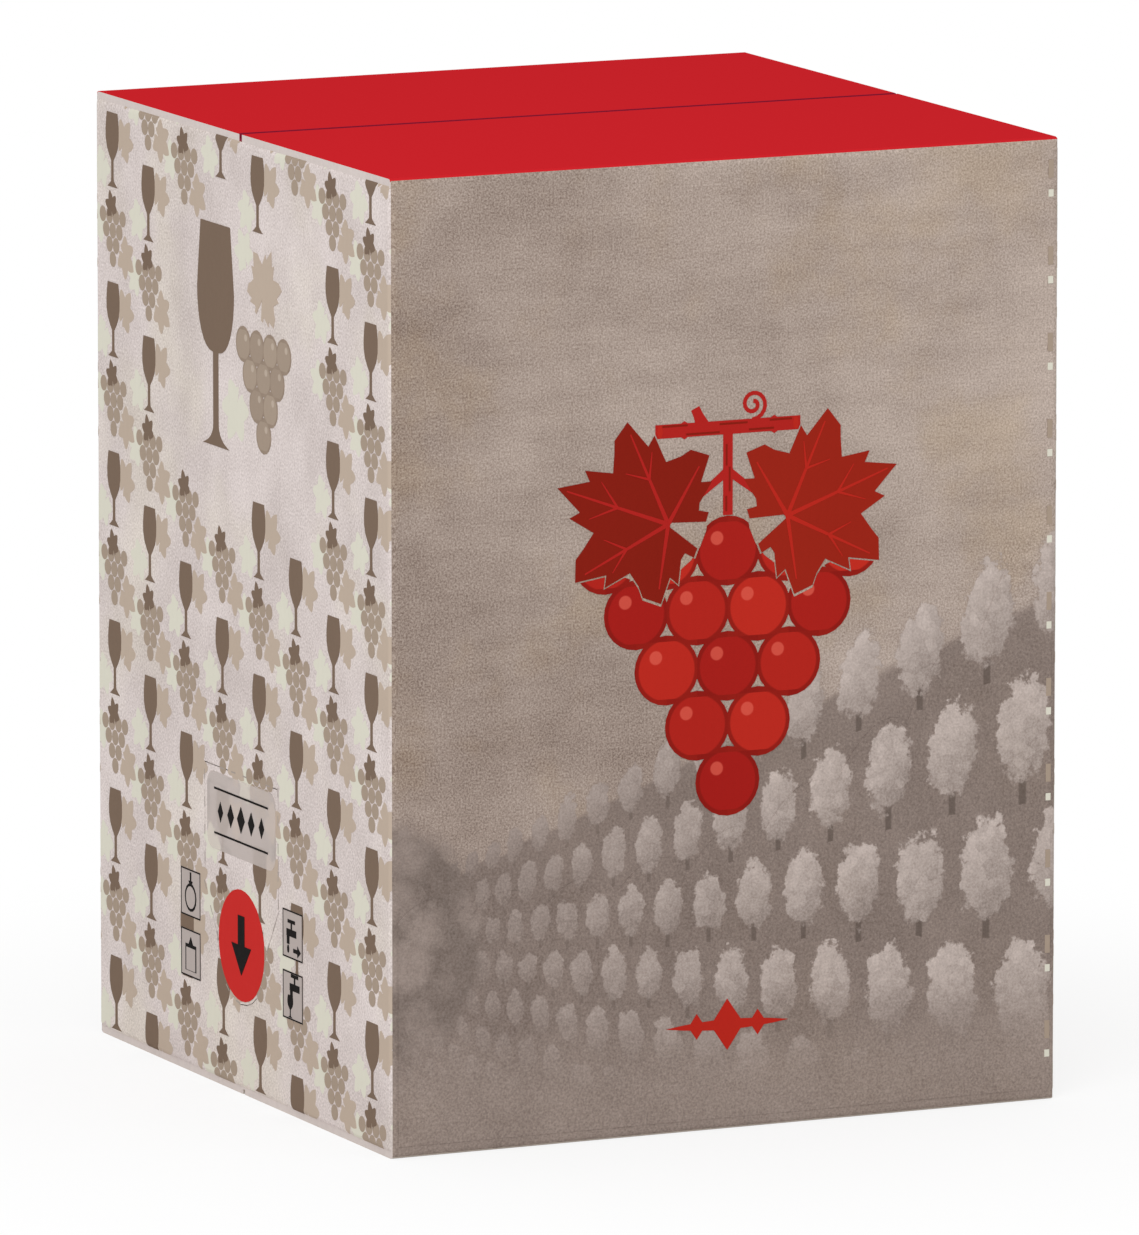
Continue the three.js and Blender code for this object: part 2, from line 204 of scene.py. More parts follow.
def paper_bump(finish, across):
    fibres = finish.noise(1400, 3)
    finish.bump(flute_wave(finish, across) * 0.35 + fibres * 0.5, 0.16, 0.2 * mm)


def printed(name, colour, across, depth=0.05, sheen=0.04):
    finish = Finish(name, sheen=sheen)
    blotches = finish.noise(45, 3)
    grain = finish.noise(1300, 2)
    tone = (blotches - 0.5) * depth + (grain - 0.5) * depth * 0.8 + 0.5
    darker = tuple(channel * 0.75 for channel in colour[:3]) + (1,)
    lighter = tuple(min(channel * 1.25, 1) for channel in colour[:3]) + (1,)
    finish.colour(finish.mix(tone, darker, lighter))
    finish.feed(finish.shader.inputs["Roughness"], finish.noise(300, 2) * 0.12 + 0.72)
    paper_bump(finish, across)
    return finish.material


def dress(node_name, material):
    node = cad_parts[node_name]
    node.data.materials.clear()
    node.data.materials.append(material)


# The case is one sheet of thin corrugated board, folded round the bag and glued shut. Its raw
# edges show at the ends of the flaps, pale as the sides' print, and at the rear corner.
board_thickness = 1.6 * mm
seam_width = 1.6 * mm
board = Finish("corrugated_board")
kraft_tone = board.noise(500, 4) * 0.6 + board.noise(40, 2) * 0.4
kraft = board.mix(kraft_tone, ink(184, 171, 158), ink(216, 205, 195))
wall_top = carton_size.z - board_thickness
over_walls = board.axis("Z").between(wall_top, wall_top + 0.1 * board_thickness)
# The flute openings in the raw board edges over the walls get a painted shade, a darker brown in
# their hollows.
flute_hole_shade = flute_wave(board, "Y").between(0.2, 0.7) * over_walls
open_board = board.mix(flute_hole_shade * 0.14, kraft, ink(120, 102, 84))
# Down in the seam between the flaps, the board is coloured a dark purple as painted shade.
off_seam = board.axis("Y").math("ABSOLUTE").between(0.6 * seam_width, 0.7 * seam_width)
seam_painted_shade = (1 - off_seam) * board.axis("Z").between(0.9 * carton_size.z, 0.91 * carton_size.z)
half_carton = carton_size.x / 2
at_side = board.axis("X").math("ABSOLUTE").between(half_carton - 0.6 * mm, half_carton - 0.5 * mm)
flap_end = at_side * board.axis("Z").between(0.1 * mm, 0.2 * mm)
printed_edge = board.mix(kraft_tone, ink(196, 185, 181), ink(222, 211, 206))
edged_board = board.mix(flap_end, open_board, printed_edge)
board.colour(board.mix(seam_painted_shade, edged_board, ink(134, 30, 54)))
paper_bump(board, "X")
dress("carton", board.material)


# The wide front and the rear are printed as old mottled paper in taupe. On the front a faded
# picture in tones of the same ink has rows of tall vines on a slope that rises to the right, and
# a dark copse at its left end.
def old_paper(finish):
    stains = finish.noise(9, 4, 0.6)
    clouds = finish.noise(38, 5, 0.65)
    streaks = finish.noise(60, 4, 0.7, (0.35, 1, 1.6))
    grain = finish.noise(1500, 3, 0.7)
    warm = finish.noise(22, 4, 0.6).between(0.48, 0.7)
    to_the_right = finish.axis("X") / carton_size.x + finish.axis("Z") / carton_size.z * 0.4
    faded = to_the_right.between(-0.5, 1)
    mottle = (stains - 0.5) * 0.5 + (clouds - 0.5) * 0.45 + (streaks - 0.5) * 0.4
    tone = mottle + (grain - 0.5) * 1.9 + faded * 0.3 + 0.32
    cool = finish.mix(tone, ink(118, 101, 91), ink(204, 188, 177))
    return finish.mix(warm * 0.5, cool, finish.mix(tone, ink(124, 101, 80), ink(204, 184, 160)))


def cells(finish, scale, output):
    return finish.add("TexVoronoi", None, {"Vector": finish.place, "Scale": scale}, output)


def vine_rows(finish, paper):
    row_count = 5
    rows_in_slope = 6.02
    lowest_slope = -0.384
    plants_in_row = 9.8
    vanishing_height = 70 * mm
    vanishing_offset = 0.66 * carton_size.x
    copse_width = 36 * mm
    copse_height = 45 * mm
    leaf_scale = 300
    bush_scale = 55
    across = finish.axis("X") + vanishing_offset
    ripple = (finish.noise(60, 4) - 0.5) * 7 * mm
    slope = (finish.axis("Z") - vanishing_height + ripple) / across
    rows = (slope - lowest_slope) * rows_in_slope
    row = rows.math("FLOOR")
    plants = across.math("LOGARITHM", math.e) * plants_in_row + (row * 0.5).math("FRACT")
    u = (plants.math("FRACT") - 0.5) / 0.5
    v = (rows.math("FRACT") - 0.5) / 0.5
    leaf = cells(finish, leaf_scale, "Distance")
    ragged = (finish.noise(240, 3, 0.7) - 0.5) * 0.8 + leaf * 0.12
    vine = 1 - (length(u, v * 0.92 - 0.1) + ragged).between(0.72, 0.84)
    trunk = (1 - u.math("ABSOLUTE").between(0.07, 0.13)) * (1 - v.between(-0.7, -0.5))
    sunlit = (v - u * 0.5).between(-1.1, 1)
    hill = 1 - slope.between(0.35, 0.37)
    inside = hill.math("MAXIMUM", vine * (1 - rows.math("GREATER_THAN", row_count)))
    from_corner = (finish.axis("X") + 0.5 * carton_size.x) / copse_width
    grove = length(from_corner, (finish.axis("Z") - vanishing_height) / copse_height)
    copse = 1 - (grove + ragged * 0.25).between(0.78, 1)
    near = finish.axis("X").between(-0.13, 0.05)
    earth = finish.axis("Z").between(0.012, 0.05)
    speckle = (finish.noise(1200, 3, 0.7) - 0.5) * 1.8
    grain = speckle + (finish.noise(38, 5, 0.65) - 0.5) * 0.6 + 0.5
    shade = finish.mix(grain, ink(97, 84, 78), ink(151, 136, 128))
    foot = finish.mix(grain, ink(114, 100, 93), ink(172, 157, 148))
    leaf_tone = cells(finish, leaf_scale, "Color")
    tone = grain * 0.5 + leaf_tone * 0.22 + sunlit * 0.42 - leaf * 0.12
    leaves = finish.mix(tone, ink(108, 95, 88), ink(214, 200, 193))
    soil = finish.mix(earth, foot, finish.mix(trunk * near, shade, ink(92, 80, 74)))
    field = finish.mix(vine * earth * (near * 0.78 + 0.16), soil, leaves)
    bush = cells(finish, bush_scale, "Distance")
    bushes = 1 - (bush + ragged * 0.3).between(0.3, 0.7)
    wood_tone = bushes * 0.42 + leaf_tone * 0.15 + grain * 0.4
    woods = finish.mix(wood_tone, ink(74, 63, 57), ink(168, 153, 145))
    covered = inside.math("MAXIMUM", copse)
    return finish.mix(covered * 0.88, paper, finish.mix(copse * earth * 0.8, field, woods))


front_paper = Finish("aged_taupe_front")
front_paper.colour(vine_rows(front_paper, old_paper(front_paper)))
paper_bump(front_paper, "X")
dress("front_print", front_paper.material)
dress("faded_vine_slope", front_paper.material)
rear_paper = Finish("aged_taupe_rear")
rear_paper.colour(old_paper(rear_paper))
paper_bump(rear_paper, "X")
dress("rear_print", rear_paper.material)


# The outer flaps of the top are printed in one even red that stops at the folds, with a painted
# shade in dark purple along the edges of their seam.
top_red = Finish("top_red", sheen=0)
clear_of_edge_shade = top_red.axis("Y").math("ABSOLUTE").between(0.8 * seam_width, 1.3 * seam_width)
red_grain = top_red.mix(top_red.noise(1300, 2), ink(199, 33, 40), ink(204, 37, 44))
top_red.colour(top_red.mix(clear_of_edge_shade, ink(150, 30, 54), red_grain))
paper_bump(top_red, "X")
dress("top_front_print", top_red.material)
dress("top_rear_print", top_red.material)


# Both narrow sides have a pale mottled ground. Each is one sheet of liner that turns a little
# way round the folds and stops under the ends of the outer flaps.
fold_radius = 2.4 * mm
liner_depth = 0.2 * mm
halfway_round = math.sqrt(0.5) - 0.01
half_width = -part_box("left_print")[0].x
half_depth = -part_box("front_print")[0].y
wall_height = carton_size.z - 2 * board_thickness
pale = Finish("pale_ground")
pale_tone = (pale.noise(30, 5, 0.6) - 0.5) * 1.2 + (pale.noise(1300, 2) - 0.5) * 2 + 0.5
pale_warm = pale.noise(20, 3).between(0.45, 0.7)
pale.colour(pale.mix(
    pale_warm * 0.5,
    pale.mix(pale_tone, ink(189, 177, 173), ink(233, 222, 219)),
    pale.mix(pale_tone, ink(193, 182, 167), ink(234, 226, 211)),
))
paper_bump(pale, "Y")


def in_edit(obj):
    bpy.ops.object.select_all(action="DESELECT")
    obj.select_set(True)
    bpy.context.view_layer.objects.active = obj
    bpy.ops.object.mode_set(mode="EDIT")


def apply_modifier(obj, kind, **settings):
    bpy.context.view_layer.objects.active = obj
    modifier = obj.modifiers.new(kind.lower(), kind)
    for key, setting in settings.items():
        setattr(modifier, key, setting)
    bpy.ops.object.modifier_apply(modifier=modifier.name)


def side_liner(node, outward):
    bpy.ops.object.select_all(action="DESELECT")
    bpy.ops.mesh.primitive_cube_add(size=1, location=(0, 0, carton_size.z / 2))
    liner = bpy.context.object
    liner.name = node + "_sheet"
    liner.scale = (2 * half_width, 2 * half_depth, wall_height)
    bpy.ops.object.transform_apply(location=True, rotation=True, scale=True)
    apply_modifier(liner, "BEVEL", width=fold_radius, segments=8, limit_method="NONE")
    in_edit(liner)
    bpy.ops.mesh.select_all(action="DESELECT")
    bpy.ops.object.mode_set(mode="OBJECT")
    for face in liner.data.polygons:
        face.select = face.normal.x * outward < halfway_round
    bpy.ops.object.mode_set(mode="EDIT")
    bpy.ops.mesh.delete(type="FACE")
    bpy.ops.object.mode_set(mode="OBJECT")
    apply_modifier(liner, "SOLIDIFY", thickness=liner_depth, offset=-1)
    bpy.ops.object.shade_smooth_by_angle(angle=math.radians(40))
    liner.data.materials.append(pale.material)
    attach(liner, "root")
    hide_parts(node)
    return liner


left_sheet = side_liner("left_print", -1)
right_sheet = side_liner("right_print", 1)


# All the small prints are flat shapes, drawn in millimetres in a panel's own frame: u to the
# right, v up and w straight out, seen from outside.
def panel_matrix(right_hand, outward, distance):
    axes = Matrix((right_hand, (0, 0, 1), outward)).transposed().to_4x4()
    return Matrix.Translation(Vector(outward) * distance) @ axes @ Matrix.Scale(mm, 4)


panels = {
    "front": panel_matrix((1, 0, 0), (0, -1, 0), half_depth),
    "left": panel_matrix((0, -1, 0), (-1, 0, 0), half_width),
    "right": panel_matrix((0, 1, 0), (1, 0, 0), half_width),
}


def select_where(obj, chosen):
    bpy.ops.object.mode_set(mode="OBJECT")
    for vertex in obj.data.vertices:
        vertex.select = chosen(vertex.co)
    for edge in obj.data.edges:
        edge.select = all(obj.data.vertices[v].select for v in edge.vertices)
    for face in obj.data.polygons:
        face.select = all(obj.data.vertices[v].select for v in face.vertices)
    bpy.ops.object.mode_set(mode="EDIT")


def bar(u, v, width, height, turn=0):
    bpy.ops.object.select_all(action="DESELECT")
    rotation = (0, 0, math.radians(turn))
    bpy.ops.mesh.primitive_plane_add(size=1, location=(u, v, 0), rotation=rotation)
    shape = bpy.context.object
    shape.scale = (width, height, 1)
    return shape


def silhouette(*levels):
    """An upright shape, symmetrical about its middle: each level is a height and a half-width."""
    (start, half), (top, _) = levels[:2]
    shape = bar(0, (start + top) / 2, 2 * half, top - start)
    bpy.ops.object.transform_apply(location=True, rotation=True, scale=True)
    for height, next_half in levels[1:]:
        select_where(shape, lambda co, top=top: abs(co.y - top) < 1e-4)
        if height > top:
            bpy.ops.mesh.extrude_region_move(TRANSFORM_OT_translate={"value": (0, height - top, 0)})
        bpy.ops.transform.resize(value=(next_half / half, 1, 1), center_override=(0, height, 0))
        half = next_half
        top = height
    bpy.ops.object.mode_set(mode="OBJECT")
    return shape


def fan(points, reach=None):
    """A flat disc of radius 1. reach gives the rim's distance at each angle from the top."""
    bpy.ops.object.select_all(action="DESELECT")
    bpy.ops.mesh.primitive_circle_add(vertices=points, radius=1, fill_type="TRIFAN")
    shape = bpy.context.object
    for vertex in shape.data.vertices:
        if reach and vertex.co.length > 0.5:
            vertex.co *= reach(math.degrees(math.atan2(vertex.co.x, vertex.co.y)))
    return shape


leaf_edge = (
    (0, 1), (30, 0.58), (56, 0.94), (88, 0.54),
    (118, 0.82), (148, 0.52), (167, 0.58), (180, 0.16),
)


def leaf_reach(angle):
    size = abs(angle)
    for (before, near), (after, far) in zip(leaf_edge, leaf_edge[1:]):
        if before <= size <= after:
            return near + (far - near) * (size - before) / (after - before)
    return leaf_edge[-1][1]


def joined(name, shapes):
    bpy.ops.object.select_all(action="DESELECT")
    for shape in shapes:
        shape.select_set(True)
    bpy.context.view_layer.objects.active = shapes[0]
    bpy.ops.object.join()
    whole = bpy.context.object
    whole.name = name
    bpy.ops.object.transform_apply(location=True, rotation=True, scale=True)
    return whole


def stamp(shape, u, v, turn=0, size=1, height=None):
    copied = shape.copy()
    copied.data = shape.data.copy()
    bpy.context.scene.collection.objects.link(copied)
    copied.location = (u, v, 0)
    copied.rotation_euler = (0, 0, math.radians(turn))
    copied.scale = (size, height or size, 1)
    return copied


fold = fold_radius / mm
fold_facets = 4
half_fold = fold * math.pi / 4
wall_low = board_thickness / mm + fold
wall_high = carton_size.z / mm - wall_low
wall_half = half_depth / mm - fold
wall_flat = ((-wall_half, wall_half), (wall_low, wall_high))


def fold_over(shape, flat):
    """Ends a shape halfway round a wall's folds, and creases it where their facets meet."""
    in_edit(shape)
    for axis, limits in enumerate(flat):
        for side, limit in zip((-1, 1), limits):
            outward = Vector((0, 0, 0))
            outward[axis] = side
            for facet in range(fold_facets + 1):
                line = outward * (side * limit + half_fold * facet / fold_facets)
                is_end = facet == fold_facets
                bpy.ops.mesh.select_all(action="SELECT")
                bpy.ops.mesh.bisect(plane_co=line, plane_no=outward, clear_outer=is_end)
    bpy.ops.object.mode_set(mode="OBJECT")


def bend(shape, flat):
    for vertex in shape.data.vertices:
        for axis, (start, end) in enumerate(flat):
            past = vertex.co[axis] - min(max(vertex.co[axis], start), end)
            radius = fold + vertex.co.z
            vertex.co[axis] += radius * math.sin(past / fold) - past
            vertex.co.z = radius * math.cos(past / fold) - fold


# Shapes of one ink that overlap lie in layers, a few thousandths of a millimetre apart.
layer_step = 0.005


def lay_ink(name, shapes, panel, material, thickness=0.06, level=0.0, flat=None, layers=5):
    """Joins flat shapes, gives them their thickness of ink, and lays them on a panel."""
    for place, shape in enumerate(shapes):
        shape.location.z = place % layers * layer_step
    layer = joined(name, shapes)
    if flat:
        fold_over(layer, flat)
    apply_modifier(layer, "SOLIDIFY", thickness=thickness, offset=1)
    if flat:
        bend(layer, flat)
    layer.data.transform(panels[panel] @ Matrix.Translation((0, 0, level)))
    layer.data.materials.clear()
    layer.data.materials.append(material)
    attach(layer, "root")


# The tear line runs up one side of the tongue, over its top, down to the disc and round it. It is
# a row of slits through the left side's liner, with a fine grey rule between them.
field_thickness = 0.15
tongue_margin = 2
tongue_shoulder = 16
disc_clearance = 1
slit_length = 6
slit_bridge = 3
slit_width = 0.35
rule_width = 0.4
label_low, label_high = (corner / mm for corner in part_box("label_plate"))
disc_low, disc_high = (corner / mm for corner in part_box("opening_disc"))
disc_height = (disc_low.z + disc_high.z) / 2
tongue_half = label_high.y + tongue_margin
tongue_top = label_high.z + tongue_margin
tear_radius = (disc_high.z - disc_low.z) / 2 + disc_clearance


def tear_line():
    upper = [
        (-tear_radius, disc_height),
        (-tongue_half, disc_height + tongue_shoulder),
        (-tongue_half, tongue_top),
    ]
    mirrored = [(-u, v) for u, v in reversed(upper)]
    steps = 48
    turns = [math.pi * step / steps for step in range(1, steps + 1)]
    round_disc = [
        (tear_radius * math.cos(turned), disc_height - tear_radius * math.sin(turned))
        for turned in turns
    ]
    return [Vector(point) for point in upper + mirrored + round_disc]


def walk(points, distance):
    """The place at a distance along a line, and the line's direction there."""
    for start, end in zip(points, points[1:]):
        run = end - start
        if distance <= run.length:
            return start + run.normalized() * distance, math.degrees(math.atan2(run.y, run.x))
        distance -= run.length
    return points[-1], 90


tear_points = tear_line()
tear_length = sum((end - start).length for start, end in zip(tear_points, tear_points[1:]))
slit_count = math.floor(tear_length / (slit_length + slit_bridge))


def tear_dashes(count, first, dash, width):
    dashes = []
    for place in range(count):
        centre, direction = walk(tear_points, (place + first) / slit_count * tear_length)
        dashes.append(bar(*centre, dash, width, direction))
    return dashes


slits = joined("slits", tear_dashes(slit_count, 0.5, slit_length, slit_width))
apply_modifier(slits, "SOLIDIFY", thickness=2, offset=0)
slits.data.transform(panels["left"])
apply_modifier(left_sheet, "BOOLEAN", object=slits, operation="DIFFERENCE", solver="EXACT")
bpy.data.objects.remove(slits)
for sheet in (left_sheet, right_sheet):
    apply_modifier(sheet, "WEIGHTED_NORMAL", keep_sharp=True, weight=100)
rule_grey = printed("tear_rule_grey", ink(163, 153, 147), "Y")
rule_length = tear_length / slit_count - slit_length
rules = tear_dashes(slit_count + 1, 0, rule_length, rule_width)
lay_ink("tear_rule", rules, "left", rule_grey, 0.1)


# The small repeat on both sides is printed in four browns. A stemmed glass and a bunch of grapes
# take turns, with a tan and a cream leaf at each, and every second column lies half a step lower.
columns = 8
row_pitch = 28.6
column_pitch = 2 * half_depth / mm / columns
glass_height = 25
pattern_margin = 1.5
pattern_rows = 12
quiet_centre = 251
quiet_half_height = 50
quiet_half_width = 2 * column_pitch
first_row = wall_high - pattern_margin - glass_height / 2
small_glass = silhouette(
    (-12.5, 4.2), (-11.8, 2.9), (-10.6, 1.1), (-9, 0.9), (-3.6, 0.9), (-1.8, 2.6),
    (0.6, 4.4), (3.6, 5.4), (6.6, 5.5), (9.5, 5.1), (12.5, 4.4),
)
small_leaf = fan(48, leaf_reach)
small_grape = fan(16)
small_bunch = joined("small_bunch", [
    stamp(small_grape, (place - (3 - row) / 2) * 5.5, 6.2 - row * 4.8, 0, 2.65)
    for row in range(4) for place in range(4 - row)
])
browns = {
    "cream": (printed("cream_ink", ink(217, 214, 199), "Y", 0.06), "pale_liner", 0.02),
    "tan": (printed("tan_ink", ink(187, 170, 154), "Y", 0.1), "tan_ink", 0.05),
    "mid": (printed("mid_brown_ink", ink(165, 148, 132), "Y", 0.1), "mid_brown_ink", 0.08),
    "dark": (printed("dark_brown_ink", ink(122, 103, 88), "Y", 0.12), "dark_brown_ink", 0.11),
}


def pattern_cell(inks, u, v, is_glass):
    if is_glass:
        inks["dark"].append(stamp(small_glass, u, v))
        inks["tan"].append(stamp(small_leaf, u + 9.5, v + 3.5, -35, 9))
        inks["cream"].append(stamp(small_leaf, u - 8.5, v - 6, 140, 8.6))
    else:
        inks["mid"].append(stamp(small_bunch, u, v))
        inks["dark"].append(stamp(small_leaf, u - 1, v + 9.2, 15, 5.8))
        inks["tan"].append(stamp(small_leaf, u + 10, v - 6, -120, 8.6))
        inks["cream"].append(stamp(small_leaf, u - 10.5, v + 2.5, 70, 8))


def side_pattern(panel):
    inks = {tint: [] for tint in browns}
    for column in range(-1, columns + 1):
        u = (column - (columns - 1) / 2) * column_pitch
        for row in range(-1, pattern_rows):
            v = first_row - row * row_pitch - (row_pitch / 2 if column % 2 else 0)
            beside_middle = abs(u) < quiet_half_width
            in_quiet_zone = beside_middle and abs(v - quiet_centre) < quiet_half_height
            if not in_quiet_zone:
                pattern_cell(inks, u, v, (row + column // 2) % 2 == 0)
    for tint, shapes in inks.items():
        material, slot, thickness = browns[tint]
        lay_ink(f"{panel}_pattern_{tint}", shapes, panel, material, thickness, 0, wall_flat)


side_pattern("left")
side_pattern("right")


# A bunch of grapes lies in rows that lose one grape at each step down. Each grape has its own
# tone, a dark rim and a small light.
grape_overlap = 1.1 * mm


def grape_inks(node, axis, radius, row_count, rim_ink, deep_ink, bright_ink, light_ink):
    bunch_low, bunch_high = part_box(node)
    middle = (getattr(bunch_low, axis) + getattr(bunch_high, axis)) / 2
    pitch = 2 * radius - grape_overlap
    row_step = pitch * math.sin(math.pi / 3)
    finish = Finish(node + "_inks", sheen=0.02)
    down = (bunch_high.z - radius - finish.axis("Z")) / row_step
    row = down.math("ROUND")
    across = (finish.axis(axis.upper()) - middle) / pitch + (row + row_count - 1) * 0.5
    place = across.math("ROUND")
    u = (across - place) * (pitch / radius)
    v = (down - row) * (row_step / radius)
    tone = (place * 0.38 + row * 0.27 + 0.4).math("FRACT")
    rim = length(u, v).between(0.84, 0.9)
    light = 1 - length(u + 0.34, v + 0.38).between(0.17, 0.22)
    skin = finish.mix(rim * 0.75, finish.mix(tone, deep_ink, bright_ink), rim_ink)
    finish.colour(finish.mix(light * 0.6, skin, light_ink))
    paper_bump(finish, axis.upper())
    return finish.material


# The larger motif in the quiet zone is a tall glass with a bunch of grapes and its leaf, in the
# same browns, with two cream leaves beside them.
side_grape_inks = (ink(146, 129, 114), ink(158, 141, 126), ink(170, 153, 137), ink(196, 181, 166))
for side in ("left", "right"):
    dress(side + "_glass", browns["dark"][0])
    dress(side + "_bunch", grape_inks(side + "_bunch", "y", 6 * mm, 4, *side_grape_inks))
    dress(side + "_leaf", browns["tan"][0])
    big_leaves = [
        stamp(small_leaf, -3, quiet_centre - 22, 150, 13),
        stamp(small_leaf, 4, quiet_centre + 30, 30, 9),
    ]
    lay_ink(side + "_cream_leaves", big_leaves, side, browns["cream"][0])


# The side print runs a little way round the right fold, so that short brown and cream ticks show
# along the front's right edge.
tick_width = 1.8
tick_place = half_depth / mm - fold - tick_width / 2
tick_count = 11
tick_thickness = field_thickness + 0.05
tick_rows = [first_row - row * row_pitch for row in range(tick_count)]
brown_ticks = [bar(tick_place, v + 8, tick_width, 6) for v in tick_rows]
cream_ticks = [bar(tick_place, v, tick_width, 2.4) for v in tick_rows]
brown, cream = browns["mid"][0], browns["cream"][0]
lay_ink("edge_ticks_brown", brown_ticks, "front", brown, tick_thickness)
lay_ink("edge_ticks_cream", cream_ticks, "front", cream, tick_thickness)


# The emblem on the wide front is printed in four reds: a bunch of grapes on a cut cane, under two
# vine leaves with lighter veins.
reds = {
    "dark": printed("dark_red_ink", ink(132, 31, 20), "X", 0.1, 0.02),
    "deep": printed("deep_red_ink", ink(151, 37, 24), "X", 0.1, 0.02),
    "mid": printed("mid_red_ink", ink(173, 36, 32), "X", 0.08, 0.02),
    "bright": printed("bright_red_ink", ink(181, 40, 30), "X", 0.08, 0.02),
}
emblem_grape_inks = (ink(128, 26, 20), ink(160, 30, 26), ink(192, 46, 34), ink(222, 96, 80))
dress("emblem_grapes", grape_inks("emblem_grapes", "x", 11.5 * mm, 5, *emblem_grape_inks))
dress("emblem_leaf_left", reds["dark"])
dress("emblem_leaf_right", reds["deep"])
dress("emblem_cane", reds["mid"])
dress("front_ornament", reds["bright"])

leaf_radius = 35
leaf_tilt = 70
leaf_spread = 28
leaf_rise = 1
leafstalk_rise = 13
leaf_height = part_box("emblem_grapes")[1].z / mm + leaf_rise


def leaf_point(side, angle, reach):
    turned = math.radians(90 - side * leaf_tilt + angle)
    centre = Vector((side * leaf_spread, leaf_height))
    return centre + leaf_radius * reach * Vector((math.cos(turned), math.sin(turned)))


def tapered(start, end, width):
    run = end - start
    strip = silhouette((0, width / 2), (run.length, width / 6))
    strip.location = (*start, 0)
    strip.rotation_euler = (0, 0, math.atan2(-run.x, run.y))
    return strip


vein_ends = [(0, 0.9), (56, 0.82), (-56, 0.82), (118, 0.68), (-118, 0.68)]
side_veins = [
    (0, 17, 0.62), (0, -17, 0.62), (1, 72, 0.62),
    (1, 40, 0.5), (2, -72, 0.62), (2, -40, 0.5),
]
vein_inks = (("left", -1, "mid", "mid_red_ink"), ("right", 1, "bright", "bright_red_ink"))
for name, side, tint, slot in vein_inks:
    root = leaf_point(side, 180, 0.2)
    veins = [tapered(root, leaf_point(side, *end), 1.5) for end in vein_ends]
    for main_vein, angle, reach in side_veins:
        fork = (root + leaf_point(side, *vein_ends[main_vein])) / 2
        veins.append(tapered(fork, leaf_point(side, angle, reach), 0.9))
    lay_ink(
        f"emblem_veins_{name}", veins, "front", reds[tint], 0.05, field_thickness,
        layers=len(veins),
    )
    leafstalk = [tapered(Vector((side, leaf_height + leafstalk_rise)), root, 2.8)]
    lay_ink(f"emblem_leafstalk_{name}", leafstalk, "front", reds["mid"], 0.14)


# The cane shows its bark in fine dark lines, and a brighter cut face at each end of its crossbar.
# A cut spur and a curling tendril grow out of its top.
cane_low, cane_high = (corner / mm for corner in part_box("emblem_cane"))
cane_width = 6
crossbar_height = cane_high.z - cane_width / 2
bark_lines = [
    (-19, 1.6, 9, 0), (-9, -1.4, 12, 0), (2, 1.2, 10, 0), (12, -1.2, 9, 0),
    (19, 1.5, 8, 0), (-0.5, -9, 7, 90), (0.6, -17, 8, 90), (-0.6, -25, 5, 90),
]
bark = [bar(u, crossbar_height + v, run, 0.6, turn) for u, v, run, turn in bark_lines]
lay_ink("emblem_bark", bark, "front", reds["dark"], 0.05, field_thickness)
cut_inset = 1.6
cut_places = (cane_low.x + cut_inset, cane_high.x - cut_inset)
cut_faces = [stamp(small_grape, u, crossbar_height, 0, 1, 2.2) for u in cut_places]
lay_ink(
    "emblem_cut_faces", cut_faces, "front", reds["bright"], 0.07,
    field_thickness,
)
tendril_width = 1.3
curl_radius = 5
curl_step = 20
curl_count = 27
curl_shrink = 0.03
curl_centre = Vector((9, cane_high.z + curl_radius - 1))
curl = []
for step in range(curl_count):
    turned = math.radians(curl_step * step - 90)
    reach = curl_radius * (1 - curl_shrink * step)
    curl.append(curl_centre + reach * Vector((math.cos(turned), math.sin(turned))))
tendril = []
for start, end in zip(curl, curl[1:]):
    run = end - start
    heading = math.degrees(math.atan2(run.y, run.x))
    tendril.append(bar(*(start + end) / 2, run.length + 0.5, tendril_width, heading))
spur = silhouette((0, 2.4), (4, 1.7), (6.5, 1.6))
spur.location = (-9, crossbar_height + 1, 0)
spur.rotation_euler = (0, 0, math.radians(25))
lay_ink("emblem_tendril", tendril + [spur], "front", reds["mid"], 0.12)


# The tear-out panel for the tap, on the left side, carries a clear mauve plate with a printer's
# ornament on it, and a red disc to press in, with an arrow on it.
black = printed("black_ink", ink(30, 27, 26), "Y", 0.1)
signal_red = printed("signal_red_ink", ink(198, 46, 43), "Y", 0.05, 0.02)
plate = printed("mauve_ink", ink(238, 222, 216), "Y", 0.06)
plate.node_tree.nodes["Principled BSDF"].inputs["Alpha"].default_value = 0.5
dress("label_plate", plate)
dress("opening_disc", signal_red)
dress("opening_arrow", black)


def lozenge(u, v, width, height):
    shape = silhouette((-height / 2, 0.05), (0, width / 2), (height / 2, 0.05))
    shape.location = (u, v, 0)
    return shape


label_centre = (label_low.z + label_high.z) / 2
lozenge_pitch = 8.4
line_rise = 7.5
ornament = [
    lozenge(place * lozenge_pitch, label_centre, 6.4 - abs(place), 9 - abs(place))
    for place in range(-2, 3)
]
ornament += [bar(0, label_centre + rise, 44, 0.7) for rise in (-line_rise, line_rise)]
lay_ink("label_ornament", ornament, "left", black, 0.06, field_thickness)


# Four small plates beside the disc show in plain drawings how the carton is opened: press the disc
# in, lift the tongue, pull out the tap and pour a glass. Each has a thin dark frame.
frame_line = 0.5
grey = printed("grey_ink", ink(180, 169, 164), "Y", 0.08)
arrow_up = silhouette((0, 0.7), (3.2, 0.7), (3.3, 2), (6, 0.1))
tap_drop = fan(16)


def press_disc():
    dark = [stamp(small_grape, 0, -1.5, 0, 4.8), stamp(arrow_up, 0, 7, 180, 0.9)]
    return dark, [stamp(small_grape, 0, -1.5, 0, 3.8)]


def lift_tongue():
    dark = [bar(0, -1.5, 9, 9), stamp(arrow_up, 0, -3.5, 0, 1.5)]
    return dark, [bar(0, -2, 7.4, 7.6)]


